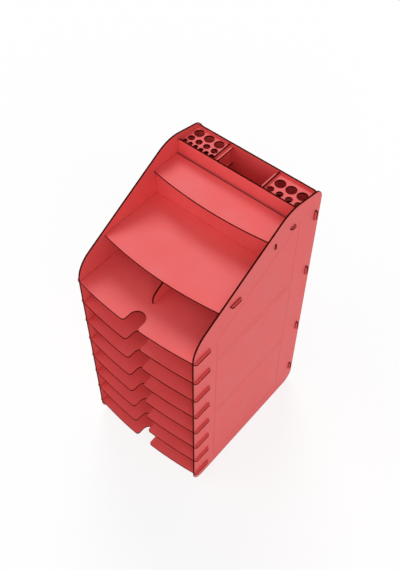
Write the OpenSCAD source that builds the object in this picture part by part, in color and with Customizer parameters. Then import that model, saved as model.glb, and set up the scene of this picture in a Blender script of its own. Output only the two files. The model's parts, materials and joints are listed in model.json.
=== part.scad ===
// Document tray tower: a desk organiser of flat boards held by tabs and mortises.
// Side panels and a back panel carry eight pull-out trays, a deck, a step shelf and a rack box.
// x is centred, depths run back from the side panels' front edges, and heights run up from the table.

/* [Boards] */
// Thickness of every board
board_t = 3; // [2.5:0.1:4]
// Clearance between fixed boards, and around a tab in its mortise
fit_gap = 0.1; // [0.05:0.05:0.2]
// Clearance around a tray in its slots
slide_gap = 0.2; // [0.1:0.05:0.3]

/* [Side panels] */
// Width over the side panels' outer faces
tower_w = 250; // [235:1:300]
// Clear depth from the side panels' front edges to the back panel
sheet_d = 301; // [290:1:340]
// How far the back panel lies in from the side panels' back edges
back_inset = 12; // [9:0.5:20]
// Radius of the side panels' lower corners
foot_r = 25; // [5:1:30]
// Radius where the front edge turns into the slope
shoulder_r = 56; // [10:1:60]
// Radius of the peak
peak_r = 72; // [20:1:80]
// Radius of the side panels' upper back corner
back_corner_r = 25; // [4:1:30]
// Height of the slope's lower corner above the top tray
shoulder_rise = 33; // [28:1:40]
// Depth of the peak
peak_d = 229; // [215:0.5:235]
// Height of the peak's sharp corner above the rack box front
peak_rise = 14.3; // [10:0.1:18]
// Drop of the upper back corner below the back panel's top
back_corner_drop = 0.8; // [0.2:0.1:6]

/* [Trays] */
// Height of the lowest tray's underside
first_tray_h = 33; // [28:0.5:45]
// Height from one tray to the next
tray_pitch = 57; // [45:0.5:70]
// Bow of the tray's front edge
tray_bow = 9.5; // [6:0.5:14]
// Width of the finger notch
notch_w = 30; // [24:1:40]
// Depth of the finger notch's round back
notch_d = 22; // [16:1:40]
// Radius of the lobes beside the notch
lobe_r = 6; // [3:0.5:9]
// Length of a tray's ears
ear_l = 38.7; // [24:0.1:60]
// How far the ears stand proud of the side panels
ear_proud = 5; // [3:0.5:8]
// Radius of an ear's front corner
ear_r = 5; // [2:0.5:6]

/* [Tabs] */
// How far most fixed tabs stand proud of the board they pass through
tab_proud = 5; // [2:0.5:6]
// Corner radius of proud tabs
tab_r = 4; // [1:0.5:4.5]
// Width of the tongues through the back panel
tongue_w = 40; // [20:1:60]
// Distance of those tongues from the centre line
tongue_x = 60; // [40:1:70]
// Height of the back panel's ears
back_ear_l = 22; // [16:1:32]
// Height of the lowest pair of ears above the lowest tray
low_ear_rise = 27; // [20:0.5:36]
// Height of the two middle pairs above their trays
mid_ear_rise = 3.5; // [0:0.5:20]
// Height of the top pair above the deck
top_ear_rise = 26.5; // [18:0.5:30]

/* [Deck and step] */
// Clear height of the bay under the deck
upper_bay_h = 56.8; // [45:0.1:70]
// Bow of the deck's front edge
deck_bow = 10.7; // [6:0.1:14]
// How far the deck's front corners lie behind the slope
deck_inset = 17; // [8:0.5:24]
// Distance of the deck's side tabs behind its front corners
deck_tab_d = 20; // [12:1:40]
// Length of the deck's side tabs
deck_tab_l = 24.5; // [12:0.5:40]
// Clear height under the step shelf
riser_h = 49.6; // [44:0.1:60]
// How far the riser stands behind the step's front corners
riser_inset = 3.5; // [1:0.1:8]
// Height of the riser's side tabs
riser_tab_l = 12; // [8:0.5:20]
// How far the riser's side tabs stand proud
riser_tab_proud = 2; // [1:0.5:6]
// Bow of the step's front edge
step_bow = 10; // [6:0.5:16]
// How far the step's front corners lie behind the slope
step_inset = 42.6; // [34:0.1:50]
// Length of the step's side tabs
step_tab_l = 13; // [8:0.5:20]
// How far the step's side tabs stand proud
step_tab_proud = 3.5; // [1:0.5:6]
// Gap between the step's back edge and the rack box
step_gap = 3; // [0.2:0.1:5]

/* [Bay divider] */
// Depth of the divider's front edge
bay_divider_d = 45; // [30:1:70]
// Height of its front edge's upper corner above the top tray
bay_nose_h = 17; // [12:1:25]
// Radius of that corner
bay_nose_r = 19; // [6:1:20]
// Length of its tongues
bay_tongue_l = 30; // [16:1:36]

/* [Rack box] */
// Clear depth of the rack box
box_d = 49; // [48:1:60]
// Height of the box front above the step
box_rise = 29.9; // [24:0.1:34]
// Radius of the box front's and the back panel's upper corners
box_corner_r = 5; // [2:0.5:8]
// Drop of the back panel's top below the box front's
back_drop = 3.5; // [2:0.5:8]
// Height of the back panel's lower edge
back_foot_h = 12; // [6:0.5:16]
// Distance of the box dividers from the centre line
box_divider_x = 51; // [44:1:56]
// Drop of the dividers' tops below the box front's
divider_drop = 5; // [3:0.5:7]
// Length of the dividers' and the box front's tongues
box_tongue_l = 18; // [12:1:24]
// Drop of the upper rack plates below the dividers' tops
rack_drop = 4; // [3:0.5:10]
// Height from the lower rack plates to the upper ones
rack_pitch = 34.5; // [30:0.5:38]
// Length of the dividers' front strips, where the rack plates' arms end
rack_strip = 6.5; // [5:0.5:12]
// Least board left beside the end holes of a row
rack_web = 1.2; // [1:0.1:4]

/* [Rack holes] */
// Diameter of the left plates' small holes
small_hole = 8.5; // [7:0.1:9]
// Spacing of the left plates' small holes
small_pitch = 11.4; // [10.5:0.1:14]
// Board in front of the left plates' small holes
small_margin = 4.8; // [3:0.1:6]
// Diameter of the left plates' middle row of holes
middle_hole = 12; // [10:0.5:13]
// Spacing of the left plates' middle row of holes
middle_pitch = 16.5; // [15:0.5:20]
// Diameter of the left plates' large holes
large_hole = 18; // [15:0.5:19]
// Spacing of the left plates' large holes
large_pitch = 21.5; // [20.5:0.5:26]
// Board behind the left plates' large holes
large_margin = 2.2; // [1.5:0.1:4]
// Diameter of the right plates' front holes
fore_hole = 12; // [8:0.5:14]
// Spacing of the right plates' front holes
fore_pitch = 18; // [15.5:0.5:20]
// Board in front of the right plates' front holes
fore_margin = 6; // [3:0.5:8]
// Diameter of the right plates' back holes
rear_hole = 19; // [15:0.5:19.5]
// Spacing of the right plates' back holes
rear_pitch = 21.7; // [21:0.1:26]
// Board behind the right plates' back holes
rear_margin = 8.5; // [3:0.5:10]

/* [Hidden] */
$fn = 96;
bow_fn = 720;
red_board = [0.84, 0.29, 0.29];
last_tray = 7;
mid_ear_trays = [3, 6];
sides = [-1, 1];
// Overlap of a tab's root with its own board
root_lap = 1;
// Rise of a lobe above the bow, so that the two outlines cross cleanly
lobe_rise = 0.02;

// Heights, each from what lies below it
function tray_z(i) = first_tray_h + i * tray_pitch;
tray_top = tray_z(last_tray) + board_t;
deck_z = tray_top + upper_bay_h;
deck_top = deck_z + board_t;
step_z = deck_top + riser_h;
step_top = step_z + board_t;
box_top = step_top + box_rise;
back_top = box_top - back_drop;
divider_top = box_top - divider_drop;
function rack_z(level) = divider_top - rack_drop - board_t - level * rack_pitch;
divider_tongue_z = (rack_z(0) + rack_z(1) + board_t) / 2;
bay_tongue_z = (tray_top + deck_z) / 2;
shoulder_z = tray_top + shoulder_rise;
peak_z = box_top + peak_rise;
back_corner_z = back_top - back_corner_drop;
back_ear_z = concat(
    tray_z(0) + low_ear_rise,
    [for (i = mid_ear_trays) tray_z(i) + mid_ear_rise],
    deck_top + top_ear_rise
);

// Depths
back_d = sheet_d;
side_d = back_d + board_t + back_inset;
function slope_d(z) = peak_d * (z - shoulder_z) / (peak_z - shoulder_z);
deck_front = slope_d(deck_top) + deck_inset;
step_front = slope_d(step_top) + step_inset;
riser_d = step_front + riser_inset;
box_front_d = back_d - box_d - board_t;
box_in_d = box_front_d + board_t;
box_mid_d = (box_in_d + back_d) / 2;
rack_arm_d = box_in_d + rack_strip;
small_row_d = box_in_d + small_margin + small_hole / 2;
large_row_d = back_d - large_margin - large_hole / 2;
middle_row_d = (small_row_d + small_hole / 2 + large_row_d - large_hole / 2) / 2;
fore_row_d = box_in_d + fore_margin + fore_hole / 2;
rear_row_d = back_d - rear_margin - rear_hole / 2;
step_back = box_front_d - step_gap;
bay_top_tongue_d = (riser_d + board_t + box_front_d) / 2;
bay_slope_top = bay_divider_d + slope_d(deck_z) - slope_d(tray_top + bay_nose_h);

// Widths
inner_w = tower_w - 2 * board_t;
fixed_w = inner_w - 2 * fit_gap;
tray_w = inner_w - 4 * slide_gap;
rack_out_x = fixed_w / 2;
rack_in_x = box_divider_x + board_t / 2 + fit_gap;
rack_w = rack_out_x - rack_in_x;
rack_mid_x = (rack_out_x + rack_in_x) / 2;

// Tray front: a bow through both front corners, with a lobe on each side of the notch
function bow_radius(w, bow) = (w * w / 4 + bow * bow) / (2 * bow);
tray_bow_r = bow_radius(tray_w, tray_bow);
tray_bow_d = tray_bow_r - tray_bow;
lobe_x = notch_w / 2 + lobe_r;
lobe_path_r = tray_bow_r - lobe_r + lobe_rise;
lobe_d = tray_bow_d - sqrt(pow(lobe_path_r, 2) - lobe_x * lobe_x);
tray_reach = lobe_r - lobe_d;
front_y = (tray_reach - side_d) / 2;

// Corner rounding
function toward(a, b) = (b - a) / norm(b - a);
function half_angle(a, b, c) = acos(toward(b, a) * toward(b, c)) / 2;
function tangent(a, b, c, r) = b + toward(b, a) * r / tan(half_angle(a, b, c));
function fillet_centre(a, b, c, r) =
    b + toward([0, 0], toward(b, a) + toward(b, c)) * r / sin(half_angle(a, b, c));

// Side panel's corners before rounding, and the largest peak that stops short of the back corner's rounding
front_foot = [0, 0];
back_foot = [side_d, 0];
back_corner = [side_d, back_corner_z];
peak = [peak_d, peak_z];
shoulder = [0, shoulder_z];
peak_run = norm(peak - tangent(peak, back_corner, back_foot, back_corner_r));
peak_room_r = peak_run * tan(half_angle(back_corner, peak, shoulder));

// Convex outline through the corners, each rounded to its own radius
module rounded_outline(corners, radii) {
    n = len(corners);
    function before(i) = corners[(i + n - 1) % n];
    function after(i) = corners[(i + 1) % n];
    polygon([
        for (i = [0 : n - 1])
            each radii[i] == 0 ? [corners[i]] : [
                tangent(before(i), corners[i], after(i), radii[i]),
                tangent(after(i), corners[i], before(i), radii[i])
            ]
    ]);
    for (i = [0 : n - 1])
        if (radii[i] > 0)
            translate(fillet_centre(before(i), corners[i], after(i), radii[i]))
                circle(radii[i]);
}

// Tab that grows along +Y from the origin
module tab(w, l, r) {
    rounded_outline(
        [[-w / 2, -root_lap], [w / 2, -root_lap], [w / 2, l], [-w / 2, l]],
        [0, 0, r, r]
    );
}

// Opening for a tab of this size, with its clearance all round
module mortise(low, size, gap) {
    translate(low - [gap, gap])
        square(size + 2 * [gap, gap]);
}

// Board blank with a bowed front edge
module bowed_blank(w, front, back, bow) {
    r = bow_radius(w, bow);
    intersection() {
        translate([-w / 2, front - bow])
            square([w, bow + root_lap]);
        translate([0, front + r - bow])
            circle(r, $fn = bow_fn);
    }
    translate([-w / 2, front])
        square([w, back - front]);
}

// Boards cut flat and set in place: lying, facing the front, or facing the side
module lying(z) {
    color(red_board)
        translate([0, front_y, z])
            linear_extrude(board_t)
                children();
}

module facing_front(d) {
    color(red_board)
        translate([0, front_y + d + board_t, 0])
            rotate([90, 0, 0])
                linear_extrude(board_t)
                    children();
}

module facing_side(x) {
    color(red_board)
        translate([x - board_t / 2, front_y, 0])
            rotate([90, 0, 90])
                linear_extrude(board_t)
                    children();
}

// Side panels
module side_mortises() {
    riser_tab_z = step_z - fit_gap - riser_tab_l;
    mortise([deck_front + deck_tab_d, deck_z], [deck_tab_l, board_t], fit_gap);
    mortise([step_back - step_tab_l, step_z], [step_tab_l, board_t], fit_gap);
    mortise([riser_d, riser_tab_z], [board_t, riser_tab_l], fit_gap);
    for (z = back_ear_z)
        mortise([back_d, z - back_ear_l / 2], [board_t, back_ear_l], fit_gap);
}

module side_panel(side) {
    facing_side(side * (tower_w - board_t) / 2)
        difference() {
            rounded_outline(
                [front_foot, back_foot, back_corner, peak, shoulder],
                [foot_r, foot_r, back_corner_r, min(peak_r, peak_room_r), shoulder_r]
            );
            for (i = [0 : last_tray])
                mortise([-root_lap, tray_z(i)], [ear_l + root_lap, board_t], slide_gap);
            side_mortises();
        }
}

// Back panel
module back_mortises() {
    for (side = sides) {
        for (i = [0 : last_tray])
            mortise([side * tongue_x - tongue_w / 2, tray_z(i)], [tongue_w, board_t], slide_gap);
        mortise([side * tongue_x - tongue_w / 2, deck_z], [tongue_w, board_t], fit_gap);
        mortise(
            [side * box_divider_x - board_t / 2, divider_tongue_z - box_tongue_l / 2],
            [board_t, box_tongue_l],
            fit_gap
        );
        for (level = [0, 1])
            mortise(
                [side * rack_mid_x - box_tongue_l / 2, rack_z(level)],
                [box_tongue_l, board_t],
                fit_gap
            );
    }
    mortise([-board_t / 2, bay_tongue_z - bay_tongue_l / 2], [board_t, bay_tongue_l], fit_gap);
}

module back_panel() {
    facing_front(back_d)
        difference() {
            union() {
                rounded_outline(
                    [
                        [-fixed_w / 2, back_foot_h], [fixed_w / 2, back_foot_h],
                        [fixed_w / 2, back_top], [-fixed_w / 2, back_top]
                    ],
                    [0, 0, box_corner_r, box_corner_r]
                );
                for (z = back_ear_z, side = sides)
                    translate([side * fixed_w / 2, z])
                        rotate(-90 * side)
                            tab(back_ear_l, fit_gap + board_t + tab_proud, tab_r);
            }
            back_mortises();
        }
}

// Trays
module tray_ear(side) {
    root_x = tray_w / 2 - root_lap;
    tip_x = tower_w / 2 + ear_proud;
    mirror([side < 0 ? 1 : 0, 0])
        rounded_outline(
            [[root_x, 0], [tip_x, 0], [tip_x, ear_l - slide_gap], [root_x, ear_l - slide_gap]],
            [0, ear_r, tab_r, 0]
        );
}

// The part of the front that the lobes and the notch between them cut away
module notch_cut() {
    ray = (tray_bow_r + lobe_r) / lobe_path_r;
    far_x = lobe_x * ray;
    far_d = tray_bow_d + (lobe_d - tray_bow_d) * ray;
    round_d = notch_d - notch_w / 2;
    polygon([[-far_x, far_d], [far_x, far_d], [lobe_x, lobe_d], [-lobe_x, lobe_d]]);
    translate([-notch_w / 2, lobe_d - root_lap])
        square([notch_w, round_d - lobe_d + root_lap]);
    translate([0, round_d])
        circle(notch_w / 2);
}

module tray(i) {
    tray_back = back_d - 2 * slide_gap;
    lying(tray_z(i)) {
        difference() {
            bowed_blank(tray_w, 0, tray_back, tray_bow);
            notch_cut();
        }
        for (side = sides) {
            translate([side * lobe_x, lobe_d])
                circle(lobe_r);
            tray_ear(side);
            translate([side * tongue_x, tray_back])
                tab(tongue_w, 2 * slide_gap + board_t + tab_proud, tab_r);
        }
    }
}

// Deck
module deck_mortises() {
    for (side = sides) {
        mortise([side * rack_mid_x - box_tongue_l / 2, box_front_d], [box_tongue_l, board_t], fit_gap);
        mortise(
            [side * box_divider_x - board_t / 2, box_mid_d - box_tongue_l / 2],
            [board_t, box_tongue_l],
            fit_gap
        );
    }
    mortise([-board_t / 2, bay_top_tongue_d - bay_tongue_l / 2], [board_t, bay_tongue_l], fit_gap);
}

module deck_shelf() {
    deck_back = back_d - fit_gap;
    lying(deck_z)
        difference() {
            union() {
                bowed_blank(fixed_w, deck_front, deck_back, deck_bow);
                for (side = sides) {
                    translate([side * fixed_w / 2, deck_front + deck_tab_d + deck_tab_l / 2])
                        rotate(-90 * side)
                            tab(deck_tab_l, fit_gap + board_t + tab_proud, tab_r);
                    translate([side * tongue_x, deck_back])
                        tab(tongue_w, fit_gap + board_t + tab_proud, tab_r);
                }
            }
            deck_mortises();
        }
}

module bay_divider() {
    low_z = tray_top + slide_gap;
    high_z = deck_z - fit_gap;
    back = back_d - fit_gap;
    spare_z = low_z - bay_nose_r;
    facing_side(0) {
        difference() {
            rounded_outline(
                [
                    [bay_divider_d, spare_z], [back, spare_z], [back, high_z],
                    [bay_slope_top, high_z], [bay_divider_d, tray_top + bay_nose_h]
                ],
                [0, 0, 0, 0, bay_nose_r]
            );
            translate([bay_divider_d - root_lap, spare_z - root_lap])
                square([back - bay_divider_d + 2 * root_lap, low_z - spare_z + root_lap]);
        }
        translate([bay_top_tongue_d, high_z])
            tab(bay_tongue_l, fit_gap + board_t, 0);
        translate([back, bay_tongue_z])
            rotate(-90)
                tab(bay_tongue_l, fit_gap + board_t + tab_proud, tab_r);
    }
}

// Riser and step
module riser_panel() {
    low_z = deck_top + fit_gap;
    high_z = step_z - fit_gap;
    facing_front(riser_d) {
        translate([-fixed_w / 2, low_z])
            square([fixed_w, high_z - low_z]);
        for (side = sides)
            translate([side * fixed_w / 2, high_z - riser_tab_l / 2])
                rotate(-90 * side)
                    tab(riser_tab_l, fit_gap + board_t + riser_tab_proud, min(tab_r, riser_tab_proud));
    }
}

module step_shelf() {
    lying(step_z) {
        bowed_blank(fixed_w, step_front, step_back, step_bow);
        for (side = sides)
            translate([side * fixed_w / 2, step_back - step_tab_l / 2])
                rotate(-90 * side)
                    tab(step_tab_l, fit_gap + board_t + step_tab_proud, min(tab_r, step_tab_proud));
    }
}

// Rack box
module pen_front() {
    low_z = deck_top + fit_gap;
    facing_front(box_front_d) {
        rounded_outline(
            [
                [-fixed_w / 2, low_z], [fixed_w / 2, low_z],
                [fixed_w / 2, box_top], [-fixed_w / 2, box_top]
            ],
            [0, 0, box_corner_r, box_corner_r]
        );
        for (side = sides)
            translate([side * rack_mid_x, low_z])
                rotate(180)
                    tab(box_tongue_l, fit_gap + board_t, 0);
    }
}

module pen_divider(side) {
    low_z = deck_top + fit_gap;
    front = box_in_d + fit_gap;
    back = back_d - fit_gap;
    facing_side(side * box_divider_x)
        difference() {
            union() {
                translate([front, low_z])
                    square([back - front, divider_top - low_z]);
                translate([box_mid_d, low_z])
                    rotate(180)
                        tab(box_tongue_l, fit_gap + board_t, 0);
                translate([back, divider_tongue_z])
                    rotate(-90)
                        tab(box_tongue_l, fit_gap + board_t + tab_proud, tab_r);
            }
            for (level = [0, 1])
                mortise([rack_arm_d, rack_z(level)], [back_d - rack_arm_d, board_t], fit_gap);
        }
}

// Rack plates, drawn for the right side and mirrored for the left
function hole_count(hole, pitch) = floor((rack_w - hole - 2 * rack_web) / pitch) + 1;

module hole_row(hole, pitch, d) {
    n = hole_count(hole, pitch);
    for (i = [0 : n - 1])
        translate([rack_mid_x + (i - (n - 1) / 2) * pitch, d])
            circle(hole / 2);
}

module rack_blank() {
    front = box_in_d + fit_gap;
    back = back_d - fit_gap;
    arm_x = box_divider_x - board_t / 2 - tab_proud;
    translate([rack_in_x, front])
        square([rack_w, back - front]);
    rounded_outline(
        [
            [arm_x, rack_arm_d], [rack_in_x + root_lap, rack_arm_d],
            [rack_in_x + root_lap, back], [arm_x, back]
        ],
        [tab_r, 0, 0, 0]
    );
    translate([rack_mid_x, back])
        tab(box_tongue_l, fit_gap + board_t + tab_proud, tab_r);
}

module left_rack(level) {
    lying(rack_z(level))
        mirror([1, 0])
            difference() {
                rack_blank();
                hole_row(small_hole, small_pitch, small_row_d);
                hole_row(middle_hole, middle_pitch, middle_row_d);
                hole_row(large_hole, large_pitch, large_row_d);
            }
}

module right_rack(level) {
    lying(rack_z(level))
        difference() {
            rack_blank();
            hole_row(fore_hole, fore_pitch, fore_row_d);
            hole_row(rear_hole, rear_pitch, rear_row_d);
        }
}

side_panel(-1);  // side_panel_left
side_panel(1);  // side_panel_right
back_panel();
tray(0);  // tray_1
tray(1);  // tray_2
tray(2);  // tray_3
tray(3);  // tray_4
tray(4);  // tray_5
tray(5);  // tray_6
tray(6);  // tray_7
tray(7);  // tray_8
deck_shelf();
bay_divider();
riser_panel();
step_shelf();
pen_front();
pen_divider(-1);  // pen_divider_left
pen_divider(1);  // pen_divider_right
left_rack(0);  // left_rack_upper
left_rack(1);  // left_rack_lower
right_rack(0);  // right_rack_upper
right_rack(1);  // right_rack_lower
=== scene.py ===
import json
import math

import bmesh
import bpy
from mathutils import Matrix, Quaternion, Vector


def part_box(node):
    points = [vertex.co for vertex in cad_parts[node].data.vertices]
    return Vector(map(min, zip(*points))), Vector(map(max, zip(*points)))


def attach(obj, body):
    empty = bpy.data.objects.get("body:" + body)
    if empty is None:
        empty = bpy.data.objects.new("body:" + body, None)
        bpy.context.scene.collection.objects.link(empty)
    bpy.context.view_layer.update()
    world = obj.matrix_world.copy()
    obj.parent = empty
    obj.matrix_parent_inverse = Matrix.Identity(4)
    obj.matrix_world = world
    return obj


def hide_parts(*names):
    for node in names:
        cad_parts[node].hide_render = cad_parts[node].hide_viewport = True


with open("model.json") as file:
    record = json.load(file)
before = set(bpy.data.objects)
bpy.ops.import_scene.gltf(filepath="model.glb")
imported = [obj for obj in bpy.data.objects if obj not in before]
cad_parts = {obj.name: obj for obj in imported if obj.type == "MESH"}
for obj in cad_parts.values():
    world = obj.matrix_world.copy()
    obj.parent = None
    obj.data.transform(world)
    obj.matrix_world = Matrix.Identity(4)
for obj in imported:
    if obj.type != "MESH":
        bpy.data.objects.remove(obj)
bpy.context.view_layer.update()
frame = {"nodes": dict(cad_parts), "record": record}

# Boards, in metres and radians
MERGE_GAP = 0.00002
FLAT_TURN = math.radians(0.2)
SMOOTH_TURN = math.radians(30)
BROAD_NORMAL = 0.99
RIM_CHAMFER = 0.00018
PAINTED = 0
CUT_EDGE = 1

# Smoke stain on the rims, with the boards that it stains heavily along their back edge; there the heavy stain
# is partly painted shade of the gap between that edge and the wall behind it
SOOT_BAND = 0.0015
RACK_SOOT_BAND = 0.0006
HEAVY_SOOT_AND_SHADE = 1.0
BOARD_SOOT = 0.35
BACK_SOOT_AND_SHADE = {"step_shelf"}
BACK_RIM_DEPTH = 2 * RIM_CHAMFER

# Painted shade of the gap in each slot, with a little scorch, as a dark band on the tabs of the fixed boards
# where they leave the side panel, measured outwards from the side panel's outer face
SIDE_TABBED = {"deck_shelf", "step_shelf", "riser_panel", "back_panel"}
JOINT_START = 0.0002
JOINT_BAND = 0.0013
JOINT_FADE = 0.0004

# Windows scored on the outer faces of the side panels, in metres
SCORE_MARGIN = 0.057
SCORE_LEVELS = ((0.034, 0.199), (0.208, 0.372))
TOP_SCORE_FOOT = 0.382
SCORE_WIDTH = 0.0008
SCORE_DEPTH = 0.0004
SLOPE_START_Z = 0.468
SLOPE_RISE = 0.54

# Noise patterns, in cells a metre. Two values are the part of a pattern that is stretched to 0 to 1, and four
# are that part and the range that it is stretched to
DRIFT_NOISE = {"scale": 14, "detail": 3}
DRIFT_SPAN = (0.3, 0.7)
FLECK_NOISE = {"scale": 900, "detail": 3, "roughness": 0.6}
FLECK_SPAN = (0.42, 0.72)
STIPPLE_NOISE = {"scale": 1500, "detail": 2}
SOOT_NOISE = {"scale": 420, "detail": 3}
SOOT_BREAKS = (0.3, 0.75, 0.55, 1.15)
BEAM_NOISE = {"scale": 1500, "detail": 3, "roughness": 0.65}
BEAM_SPAN = (0.35, 0.7)
PATCH_NOISE = {"scale": 90, "detail": 2}
PATCH_SPAN = (0.3, 0.7, 0.5, 1.0)

# Paint: colours, shares of the patterns, roughness from sheen, and relief as strength and height
PAINT_DEEP = (0.695, 0.055, 0.055, 1)
PAINT_LIGHT = (0.755, 0.069, 0.069, 1)
PAINT_TONE = {"Drift": 0.6, "Fleck": 0.4}
SHEEN_FROM_DRIFT = 0.4
SHEEN_FROM_STIPPLE = 0.6
PAINT_ROUGHNESS = (0.2, 0.8, 0.60, 0.70)
PAINT_SPECULAR = 1.0
PAINT_RELIEF = (0.16, 0.0001)
# Colour of the smoke stain beside cuts, also used for the painted shade at the tab slots and along the step
# shelf's back edge
SCORCH_AND_SHADE_COLOUR = (0.085, 0.006, 0.004, 1)
SOOT_FADE_POWER = 1.3
SOOT_AND_SHADE_STRENGTH = 0.9
SOOT_DULLING = 0.25

# Cut edges: colours, how brown shows through the board, roughness from the beam lines, and relief
CHAR = (0.030, 0.0022, 0.0008, 1)
BURNT_BROWN = (0.105, 0.012, 0.004, 1)
BROWN_RISE = (0.05, 0.85)
LEAST_BROWN = 0.25
LINE_STRETCH = 0.04
EDGE_ROUGHNESS = (0.2, 0.8, 0.72, 0.92)
EDGE_RELIEF = (0.35, 0.00015)
CHAR_SPECULAR = 0.0

# Camera, in metres, radians and millimetres of lens
EYE = Vector((0.5422, -0.6354, 1.4715))
SIGHT = Vector((-0.3902, 0.4645, -0.7950))
CAMERA_ROLL = math.radians(0.26)
LENS_MM = 50
SENSOR_MM = 36

# Studio, in metres. The floor's glow is the share of plain white that the eye sees in it
WHITE = (1, 1, 1, 1)
FLOOR_WIDTH = 30
FLOOR_Z = -0.0002
FLOOR_CORNER_ROUND = 3
FLOOR_CORNER_STEPS = 6
FLOOR_COLOUR = (0.99, 0.99, 0.99, 1)
FLOOR_ROUGHNESS = 0.9
FLOOR_GLOW = 0.8
DOME_LEVEL = 0.38
SOFT_LAMPS = {
    "overhead_lamp": {"comes_from": Vector((-0.42, 0.46, 0.78)), "spread": math.radians(26), "level": 1.1},
    "right_lamp": {"comes_from": Vector((0.62, -0.60, 0.50)), "spread": math.radians(60), "level": 1.25},
    "left_lamp": {"comes_from": Vector((-0.45, -0.60, 0.66)), "spread": math.radians(60), "level": 0.7},
}


def clear_selection():
    """Nothing is selected, so that the next operator acts on one piece."""
    if bpy.context.object and bpy.context.object.mode != "OBJECT":
        bpy.ops.object.mode_set(mode="OBJECT")
    bpy.ops.object.select_all(action="DESELECT")


def make_active(piece):
    """The piece is selected alone."""
    clear_selection()
    piece.select_set(True)
    bpy.context.view_layer.objects.active = piece


# Node trees


def node(tree, kind, values=None, **settings):
    """A new node with its settings and the values of its unlinked inputs."""
    new = tree.nodes.new(kind)
    for name, value in settings.items():
        setattr(new, name, value)
    for name, value in (values or {}).items():
        new.inputs[name].default_value = value
    return new


def noise(tree, coord, scale, detail=2.0, roughness=0.5):
    """Noise on a coordinate. The scale is in cells a metre."""
    new = node(tree, "ShaderNodeTexNoise", {"Scale": scale, "Detail": detail, "Roughness": roughness})
    tree.links.new(coord, new.inputs["Vector"])
    return new.outputs["Fac"]


def remap(tree, value, low, high, to_low=0.0, to_high=1.0):
    """A value stretched from one range to another, and held inside it."""
    new = node(
        tree,
        "ShaderNodeMapRange",
        {"From Min": low, "From Max": high, "To Min": to_low, "To Max": to_high},
        interpolation_type="SMOOTHSTEP",
    )
    tree.links.new(value, new.inputs["Value"])
    return new.outputs["Result"]


def maths(tree, operation, first, second):
    """Two values combined. Each is a socket or a number."""
    new = node(tree, "ShaderNodeMath", operation=operation)
    for place, value in enumerate((first, second)):
        if isinstance(value, (int, float)):
            new.inputs[place].default_value = value
        else:
            tree.links.new(value, new.inputs[place])
    return new.outputs["Value"]


def mix_colour(tree, mask, first, second):
    """A colour that goes from the first to the second with a mask."""
    new = node(tree, "ShaderNodeMix", data_type="RGBA")
    tree.links.new(mask, new.inputs["Factor"])
    for name, value in (("A", first), ("B", second)):
        socket = next(s for s in new.inputs if s.name == name and s.type == "RGBA")
        if isinstance(value, tuple):
            socket.default_value = value
        else:
            tree.links.new(value, socket)
    return next(s for s in new.outputs if s.type == "RGBA")


def new_group(name, inputs, outputs):
    """An empty node group with named sockets, and its two ends."""
    group = bpy.data.node_groups.new(name, "ShaderNodeTree")
    for label, kind in inputs:
        group.interface.new_socket(label, in_out="INPUT", socket_type=kind)
    for label in outputs:
        group.interface.new_socket(label, in_out="OUTPUT", socket_type="NodeSocketFloat")
    return group, node(group, "NodeGroupInput").outputs, node(group, "NodeGroupOutput").inputs


def place_group(tree, group, links, values=None):
    """A node group set into a material, with its links and values."""
    new = node(tree, "ShaderNodeGroup", node_tree=group)
    for name, socket in links.items():
        tree.links.new(socket, new.inputs[name])
    for name, value in (values or {}).items():
        new.inputs[name].default_value = value
    return new.outputs


def board_fibre_group():
    """Slow drift of tone, short pressed fibres and the fine stipple of a roller."""
    group, given, result = new_group(
        "board_fibre",
        [("Coord", "NodeSocketVector"), ("Drift", "NodeSocketFloat"), ("Fleck", "NodeSocketFloat")],
        ["Tone", "Sheen", "Relief"],
    )
    coord = given["Coord"]
    drift = remap(group, noise(group, coord, **DRIFT_NOISE), *DRIFT_SPAN)
    fleck = remap(group, noise(group, coord, **FLECK_NOISE), *FLECK_SPAN)
    stipple = noise(group, coord, **STIPPLE_NOISE)
    drift_tone = maths(group, "MULTIPLY", drift, given["Drift"])
    fleck_tone = maths(group, "MULTIPLY", fleck, given["Fleck"])
    drift_sheen = maths(group, "MULTIPLY", drift, SHEEN_FROM_DRIFT)
    stipple_sheen = maths(group, "MULTIPLY", stipple, SHEEN_FROM_STIPPLE)
    group.links.new(maths(group, "ADD", drift_tone, fleck_tone), result["Tone"])
    group.links.new(maths(group, "ADD", drift_sheen, stipple_sheen), result["Sheen"])
    group.links.new(stipple, result["Relief"])
    return group


def soot_and_shade_group():
    """Smoke stain beside a cut, broken up along its length. Along the step shelf's back edge it is also
    painted shade of the gap there.
    """
    group, given, result = new_group(
        "soot_and_painted_shade_beside_cut",
        [("Coord", "NodeSocketVector"), ("Soot And Shade", "NodeSocketFloat"), ("Strength", "NodeSocketFloat")],
        ["Mask"],
    )
    breaks = remap(group, noise(group, given["Coord"], **SOOT_NOISE), *SOOT_BREAKS)
    fade = maths(group, "POWER", given["Soot And Shade"], SOOT_FADE_POWER)
    rim_stain_and_shade = maths(group, "MULTIPLY", fade, breaks)
    group.links.new(maths(group, "MULTIPLY", rim_stain_and_shade, given["Strength"]), result["Mask"])
    return group


def tab_slot_shade_group():
    """Dark line on a side tab where it leaves the side panel's mortise: painted shade of the gap in the slot,
    with a little scorch.
    """
    group, given, result = new_group(
        "tab_slot_painted_shade",
        [("Coord", "NodeSocketVector"), ("Tabbed", "NodeSocketFloat")],
        ["Mask"],
    )
    split = node(group, "ShaderNodeSeparateXYZ")
    group.links.new(given["Coord"], split.inputs["Vector"])
    sideways = node(group, "ShaderNodeMath", operation="ABSOLUTE")
    group.links.new(split.outputs["X"], sideways.inputs[0])
    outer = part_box("side_panel_right")[1].x
    start = remap(group, sideways.outputs["Value"], outer, outer + JOINT_START)
    end = remap(group, sideways.outputs["Value"], outer + JOINT_BAND, outer + JOINT_BAND + JOINT_FADE, 1, 0)
    line = maths(group, "MULTIPLY", start, end)
    group.links.new(maths(group, "MULTIPLY", line, given["Tabbed"]), result["Mask"])
    return group


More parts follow.
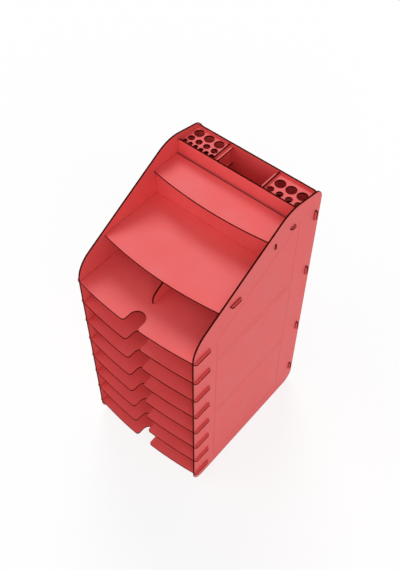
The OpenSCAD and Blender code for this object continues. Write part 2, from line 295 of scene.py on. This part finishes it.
def laser_line_group():
    """Fine lines that the beam leaves across a cut edge, blackest on the side where it came out."""
    group, given, result = new_group(
        "laser_lines",
        [("Coord", "NodeSocketVector"), ("Through", "NodeSocketFloat"), ("Least Brown", "NodeSocketFloat")],
        ["Brown", "Relief"],
    )
    lines = noise(group, given["Coord"], **BEAM_NOISE)
    patches = remap(group, noise(group, given["Coord"], **PATCH_NOISE), *PATCH_SPAN)
    patched_lines = maths(group, "MULTIPLY", remap(group, lines, *BEAM_SPAN), patches)
    browning = maths(group, "ADD", remap(group, given["Through"], *BROWN_RISE), given["Least Brown"])
    group.links.new(maths(group, "MULTIPLY", patched_lines, browning), result["Brown"])
    group.links.new(lines, result["Relief"])
    return group


BOARD_FIBRE = board_fibre_group()
SOOT_AND_SHADE_GROUP = soot_and_shade_group()
TAB_SLOT_SHADE = tab_slot_shade_group()
LASER_LINES = laser_line_group()


# Materials


def new_material(name):
    """A material with a bare Principled shader."""
    material = bpy.data.materials.new(name)
    material.use_nodes = True
    tree = material.node_tree
    tree.nodes.clear()
    shader = node(tree, "ShaderNodeBsdfPrincipled")
    output = node(tree, "ShaderNodeOutputMaterial")
    tree.links.new(shader.outputs["BSDF"], output.inputs["Surface"])
    return material, tree, shader


def bump(tree, height, strength, distance, shader):
    """Relief on a shader's normal."""
    relief = node(tree, "ShaderNodeBump", {"Strength": strength, "Distance": distance})
    tree.links.new(height, relief.inputs["Height"])
    tree.links.new(relief.outputs["Normal"], shader.inputs["Normal"])


def red_paint():
    """Satin red paint on hardboard, smoke-stained beside each cut, with painted shade where the side tabs
    leave their slots and along the step shelf's back edge.
    """
    material, tree, shader = new_material("satin_red_paint")
    coord = node(tree, "ShaderNodeTexCoord").outputs["Object"]
    soot_and_shade = node(tree, "ShaderNodeAttribute", attribute_name="soot_and_shade").outputs["Fac"]
    tabbed = node(tree, "ShaderNodeAttribute", attribute_name="tabbed").outputs["Fac"]
    fibre = place_group(tree, BOARD_FIBRE, {"Coord": coord}, PAINT_TONE)
    rim_stain_and_shade = place_group(tree, SOOT_AND_SHADE_GROUP, {"Coord": coord, "Soot And Shade": soot_and_shade}, {"Strength": SOOT_AND_SHADE_STRENGTH})
    # painted shade of the gap where each side tab leaves its slot, with a little scorch
    slot_shade = place_group(tree, TAB_SLOT_SHADE, {"Coord": coord, "Tabbed": tabbed})
    dark = maths(tree, "MAXIMUM", rim_stain_and_shade["Mask"], slot_shade["Mask"])
    paint = mix_colour(tree, fibre["Tone"], PAINT_DEEP, PAINT_LIGHT)
    tree.links.new(mix_colour(tree, dark, paint, SCORCH_AND_SHADE_COLOUR), shader.inputs["Base Color"])
    satin = remap(tree, fibre["Sheen"], *PAINT_ROUGHNESS)
    dulled = maths(tree, "MULTIPLY", dark, SOOT_DULLING)
    tree.links.new(maths(tree, "ADD", satin, dulled), shader.inputs["Roughness"])
    shader.inputs["Specular IOR Level"].default_value = PAINT_SPECULAR
    bump(tree, fibre["Relief"], *PAINT_RELIEF, shader)
    return material


def burnt_edge(name, axis):
    """Charred cut edge of a board whose thickness runs along one axis."""
    material, tree, shader = new_material(name)
    coord = node(tree, "ShaderNodeTexCoord").outputs["Object"]
    through = node(tree, "ShaderNodeAttribute", attribute_name="through").outputs["Fac"]
    stretch = [1.0, 1.0, 1.0]
    stretch[axis] = LINE_STRETCH
    mapping = node(tree, "ShaderNodeMapping", {"Scale": stretch})
    tree.links.new(coord, mapping.inputs["Vector"])
    links = {"Coord": mapping.outputs["Vector"], "Through": through}
    lines = place_group(tree, LASER_LINES, links, {"Least Brown": LEAST_BROWN})
    tree.links.new(mix_colour(tree, lines["Brown"], CHAR, BURNT_BROWN), shader.inputs["Base Color"])
    tree.links.new(remap(tree, lines["Relief"], *EDGE_ROUGHNESS), shader.inputs["Roughness"])
    shader.inputs["Specular IOR Level"].default_value = CHAR_SPECULAR
    bump(tree, lines["Relief"], *EDGE_RELIEF, shader)
    return material


RED_PAINT = red_paint()
BURNT_EDGES = [burnt_edge(f"burnt_edge_{letter}", axis) for axis, letter in enumerate("xyz")]


# Boards


def thickness_axis(name):
    """The axis along which a board is thinnest: 0, 1 or 2."""
    low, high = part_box(name)
    spans = list(high - low)
    return spans.index(min(spans))


def is_broad(face, axis, side=None):
    """True for a face on a broad side of the board: on either one, or on the given one."""
    if side is None:
        return abs(face.normal[axis]) > BROAD_NORMAL
    return face.normal[axis] * side > BROAD_NORMAL


def pick(board, mode, choose):
    """In edit mode, only what choose() returns is selected."""
    bpy.ops.mesh.select_mode(type=mode)
    bpy.ops.mesh.select_all(action="DESELECT")
    shape = bmesh.from_edit_mesh(board.data)
    for item in choose(shape):
        item.select_set(True)
    shape.select_flush_mode()
    bmesh.update_edit_mesh(board.data)


def copy_board(name):
    """A merged copy of a board's solid, each flat side one run of faces, open for editing."""
    board = bpy.data.objects.new(name + "_board", frame["nodes"][name].data.copy())
    bpy.context.scene.collection.objects.link(board)
    make_active(board)
    bpy.ops.mesh.customdata_custom_splitnormals_clear()
    bpy.ops.object.mode_set(mode="EDIT")
    bpy.ops.mesh.select_all(action="SELECT")
    bpy.ops.mesh.remove_doubles(threshold=MERGE_GAP)
    bpy.ops.mesh.dissolve_limited(angle_limit=FLAT_TURN)
    return board


def break_rim(board, axis, side, band):
    """On one broad side, chamfers the rim of the outline and of each hole, with a soot band inside it."""
    pick(board, "FACE", lambda shape: [f for f in shape.faces if is_broad(f, axis, side)])
    for width in (RIM_CHAMFER, band):
        bpy.ops.mesh.inset(thickness=width, use_boundary=True, use_even_offset=True)
    bpy.ops.mesh.delete(type="FACE")
    pick(board, "EDGE", lambda shape: [e for e in shape.edges if len(e.link_faces) == 1])
    bpy.ops.mesh.fill(use_beauty=True)
    pick(
        board,
        "VERT",
        lambda shape: [
            v
            for v in shape.verts
            if any(is_broad(f, axis, side) for f in v.link_faces)
            and not all(is_broad(f, axis) for f in v.link_faces)
        ],
    )
    drop = [0.0, 0.0, 0.0]
    drop[axis] = -side * RIM_CHAMFER
    bpy.ops.transform.translate(value=drop)


def rim_soot_and_shade(name, at_back):
    """How dark a board's rim is stained: most on the sides, with smoke stain, and along some back edges, with
    smoke stain and painted shade of the gap behind.
    """
    if name.startswith("side_panel_") or (name in BACK_SOOT_AND_SHADE and at_back):
        return HEAVY_SOOT_AND_SHADE
    return BOARD_SOOT


def mark_board(board, name, axis):
    """Soot beside the cuts, heavier along the step shelf's back edge where it is partly painted shade, which
    boards take the painted slot shade on their tabs, depth through the board, and which faces are paint or
    cut edge.
    """
    shape = bmesh.from_edit_mesh(board.data)
    soot_and_shade = shape.verts.layers.float.new("soot_and_shade")
    tabbed = shape.verts.layers.float.new("tabbed")
    through = shape.verts.layers.float.new("through")
    places = [v.co[axis] for v in shape.verts]
    low, depth = min(places), max(places) - min(places)
    back_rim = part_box(name)[1].y - BACK_RIM_DEPTH
    for vert in shape.verts:
        on_rim = not all(is_broad(f, axis) for f in vert.link_faces)
        vert[soot_and_shade] = rim_soot_and_shade(name, vert.co.y > back_rim) if on_rim else 0.0
        vert[tabbed] = 1.0 if name in SIDE_TABBED else 0.0
        vert[through] = (vert.co[axis] - low) / depth
    for face in shape.faces:
        face.material_index = PAINTED if is_broad(face, axis) else CUT_EDGE
    bmesh.update_edit_mesh(board.data)


def shade_board(board, axis):
    """Rounded runs of the cut edge are smooth, and both broad sides stay flat."""
    bpy.ops.object.mode_set(mode="OBJECT")
    bpy.ops.object.shade_smooth_by_angle(angle=SMOOTH_TURN)
    bpy.ops.object.mode_set(mode="EDIT")
    pick(board, "FACE", lambda shape: [f for f in shape.faces if is_broad(f, axis)])
    bpy.ops.mesh.faces_shade_flat()
    bpy.ops.object.mode_set(mode="OBJECT")


def score_corners(low, high):
    """Corners (y, z) of each scored window of a side panel: lower front and back, upper front and back."""
    front, back = low.y + SCORE_MARGIN, high.y - SCORE_MARGIN
    under_slope = SLOPE_START_Z - SCORE_MARGIN * math.hypot(1, SLOPE_RISE)
    for foot, head in SCORE_LEVELS:
        yield (front, foot), (back, foot), (front, head), (back, head)
    heads = [(y, under_slope + SLOPE_RISE * (y - low.y)) for y in (front, back)]
    yield (front, TOP_SCORE_FOOT), (back, TOP_SCORE_FOOT), *heads


def score_cutter(corners, outer, side):
    """A thin closed ring that lies along the edges of one window, half sunk into the outer face."""
    clear_selection()
    bpy.ops.mesh.primitive_plane_add(size=1)
    cutter = bpy.context.object
    for vert, (y, z) in zip(cutter.data.vertices, corners):
        vert.co = (outer + side * SCORE_DEPTH, y, z)
    bpy.ops.object.mode_set(mode="EDIT")
    bpy.ops.mesh.select_all(action="SELECT")
    bpy.ops.mesh.inset(thickness=SCORE_WIDTH, use_even_offset=True)
    bpy.ops.mesh.delete(type="FACE")
    bpy.ops.mesh.select_all(action="SELECT")
    bpy.ops.mesh.extrude_region_move(TRANSFORM_OT_translate={"value": (-side * 2 * SCORE_DEPTH, 0, 0)})
    bpy.ops.mesh.select_all(action="SELECT")
    bpy.ops.mesh.normals_make_consistent(inside=False)
    bpy.ops.object.mode_set(mode="OBJECT")
    return cutter


def score_windows(board, name):
    """Fine painted-over lines round three windows that the cutter only marked on a side panel."""
    low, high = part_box(name)
    side = 1 if low.x > 0 else -1
    outer = high.x if side > 0 else low.x
    for corners in score_corners(low, high):
        cutter = score_cutter(corners, outer, side)
        make_active(board)
        groove = board.modifiers.new("groove", "BOOLEAN")
        groove.operation = "DIFFERENCE"
        groove.solver = "EXACT"
        groove.object = cutter
        bpy.ops.object.modifier_apply(modifier=groove.name)
        bpy.data.objects.remove(cutter, do_unlink=True)


def dress_board(name, body):
    """A board as it comes off the cutter and out of the paint shop, in place of its plain solid."""
    axis = thickness_axis(name)
    board = copy_board(name)
    band = RACK_SOOT_BAND if "_rack_" in name else SOOT_BAND
    for side in (-1, 1):
        break_rim(board, axis, side, band)
    bpy.ops.mesh.select_all(action="SELECT")
    bpy.ops.mesh.normals_make_consistent(inside=False)
    board.data.materials.clear()
    board.data.materials.append(RED_PAINT)
    board.data.materials.append(BURNT_EDGES[axis])
    mark_board(board, name, axis)
    shade_board(board, axis)
    if name.startswith("side_panel_"):
        score_windows(board, name)
    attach(board, body)
    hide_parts(name)


for body_name, board_names in frame["record"]["behaviour"]["bodies"].items():
    for board_name in board_names:
        dress_board(board_name, body_name)


# Studio


def seen_by_eye(tree):
    """One for rays from the camera and in reflections, nought for the light that falls on the tower."""
    rays = node(tree, "ShaderNodeLightPath").outputs
    mirrored = maths(tree, "MAXIMUM", rays["Is Glossy Ray"], rays["Is Transmission Ray"])
    return maths(tree, "MAXIMUM", rays["Is Camera Ray"], mirrored)


def pale_floor():
    """Matt white floor that looks white where nothing shades it."""
    material, tree, shader = new_material("pale_floor")
    shader.inputs["Base Color"].default_value = FLOOR_COLOUR
    shader.inputs["Roughness"].default_value = FLOOR_ROUGHNESS
    shader.inputs["Specular IOR Level"].default_value = 0.0
    glow = node(tree, "ShaderNodeEmission", {"Color": WHITE, "Strength": 1.0})
    both = node(tree, "ShaderNodeMixShader")
    tree.links.new(maths(tree, "MULTIPLY", seen_by_eye(tree), FLOOR_GLOW), both.inputs["Fac"])
    tree.links.new(shader.outputs["BSDF"], both.inputs[1])
    tree.links.new(glow.outputs["Emission"], both.inputs[2])
    output = next(n for n in tree.nodes if n.type == "OUTPUT_MATERIAL")
    tree.links.new(both.outputs["Shader"], output.inputs["Surface"])
    return material


def lay_floor():
    """A wide pale floor with rounded corners."""
    clear_selection()
    bpy.ops.mesh.primitive_plane_add(size=FLOOR_WIDTH, location=(0, 0, FLOOR_Z))
    floor = bpy.context.object
    floor.name = "floor"
    bpy.ops.object.mode_set(mode="EDIT")
    bpy.ops.mesh.select_all(action="SELECT")
    bpy.ops.mesh.bevel(offset=FLOOR_CORNER_ROUND, segments=FLOOR_CORNER_STEPS, affect="VERTICES")
    bpy.ops.object.mode_set(mode="OBJECT")
    bpy.ops.object.transform_apply(location=True, rotation=False, scale=False)
    floor.data.materials.append(pale_floor())


def light_dome():
    """An even white dome, plain white to the camera and in reflections."""
    world = bpy.data.worlds.new("studio_dome")
    bpy.context.scene.world = world
    world.use_nodes = True
    tree = world.node_tree
    tree.nodes.clear()
    level = node(tree, "ShaderNodeMapRange", {"To Min": DOME_LEVEL, "To Max": 1.0})
    tree.links.new(seen_by_eye(tree), level.inputs["Value"])
    dome = node(tree, "ShaderNodeBackground", {"Color": WHITE})
    tree.links.new(level.outputs["Result"], dome.inputs["Strength"])
    output = node(tree, "ShaderNodeOutputWorld")
    tree.links.new(dome.outputs["Background"], output.inputs["Surface"])


def hang_lamp(name, comes_from, spread, level):
    """A broad, far lamp with soft shadows, whose light doesn't fall off across the floor."""
    clear_selection()
    bpy.ops.object.light_add(type="SUN", location=comes_from)
    lamp = bpy.context.object
    lamp.name = name
    lamp.data.angle = spread
    lamp.data.energy = level
    lamp.rotation_euler = (-comes_from).to_track_quat("-Z", "Y").to_euler()


def set_camera():
    """The camera where the photograph was taken from."""
    clear_selection()
    bpy.ops.object.camera_add(location=EYE)
    camera = bpy.context.object
    camera.name = "camera"
    camera.data.lens = LENS_MM
    camera.data.sensor_width = SENSOR_MM
    camera.data.sensor_fit = "AUTO"
    aim = SIGHT.to_track_quat("-Z", "Y") @ Quaternion((0, 0, 1), CAMERA_ROLL)
    camera.rotation_euler = aim.to_euler()
    bpy.context.scene.camera = camera


lay_floor()
light_dome()
for lamp_name, lamp in SOFT_LAMPS.items():
    hang_lamp(lamp_name, **lamp)
set_camera()
bpy.context.scene.view_settings.view_transform = "Standard"
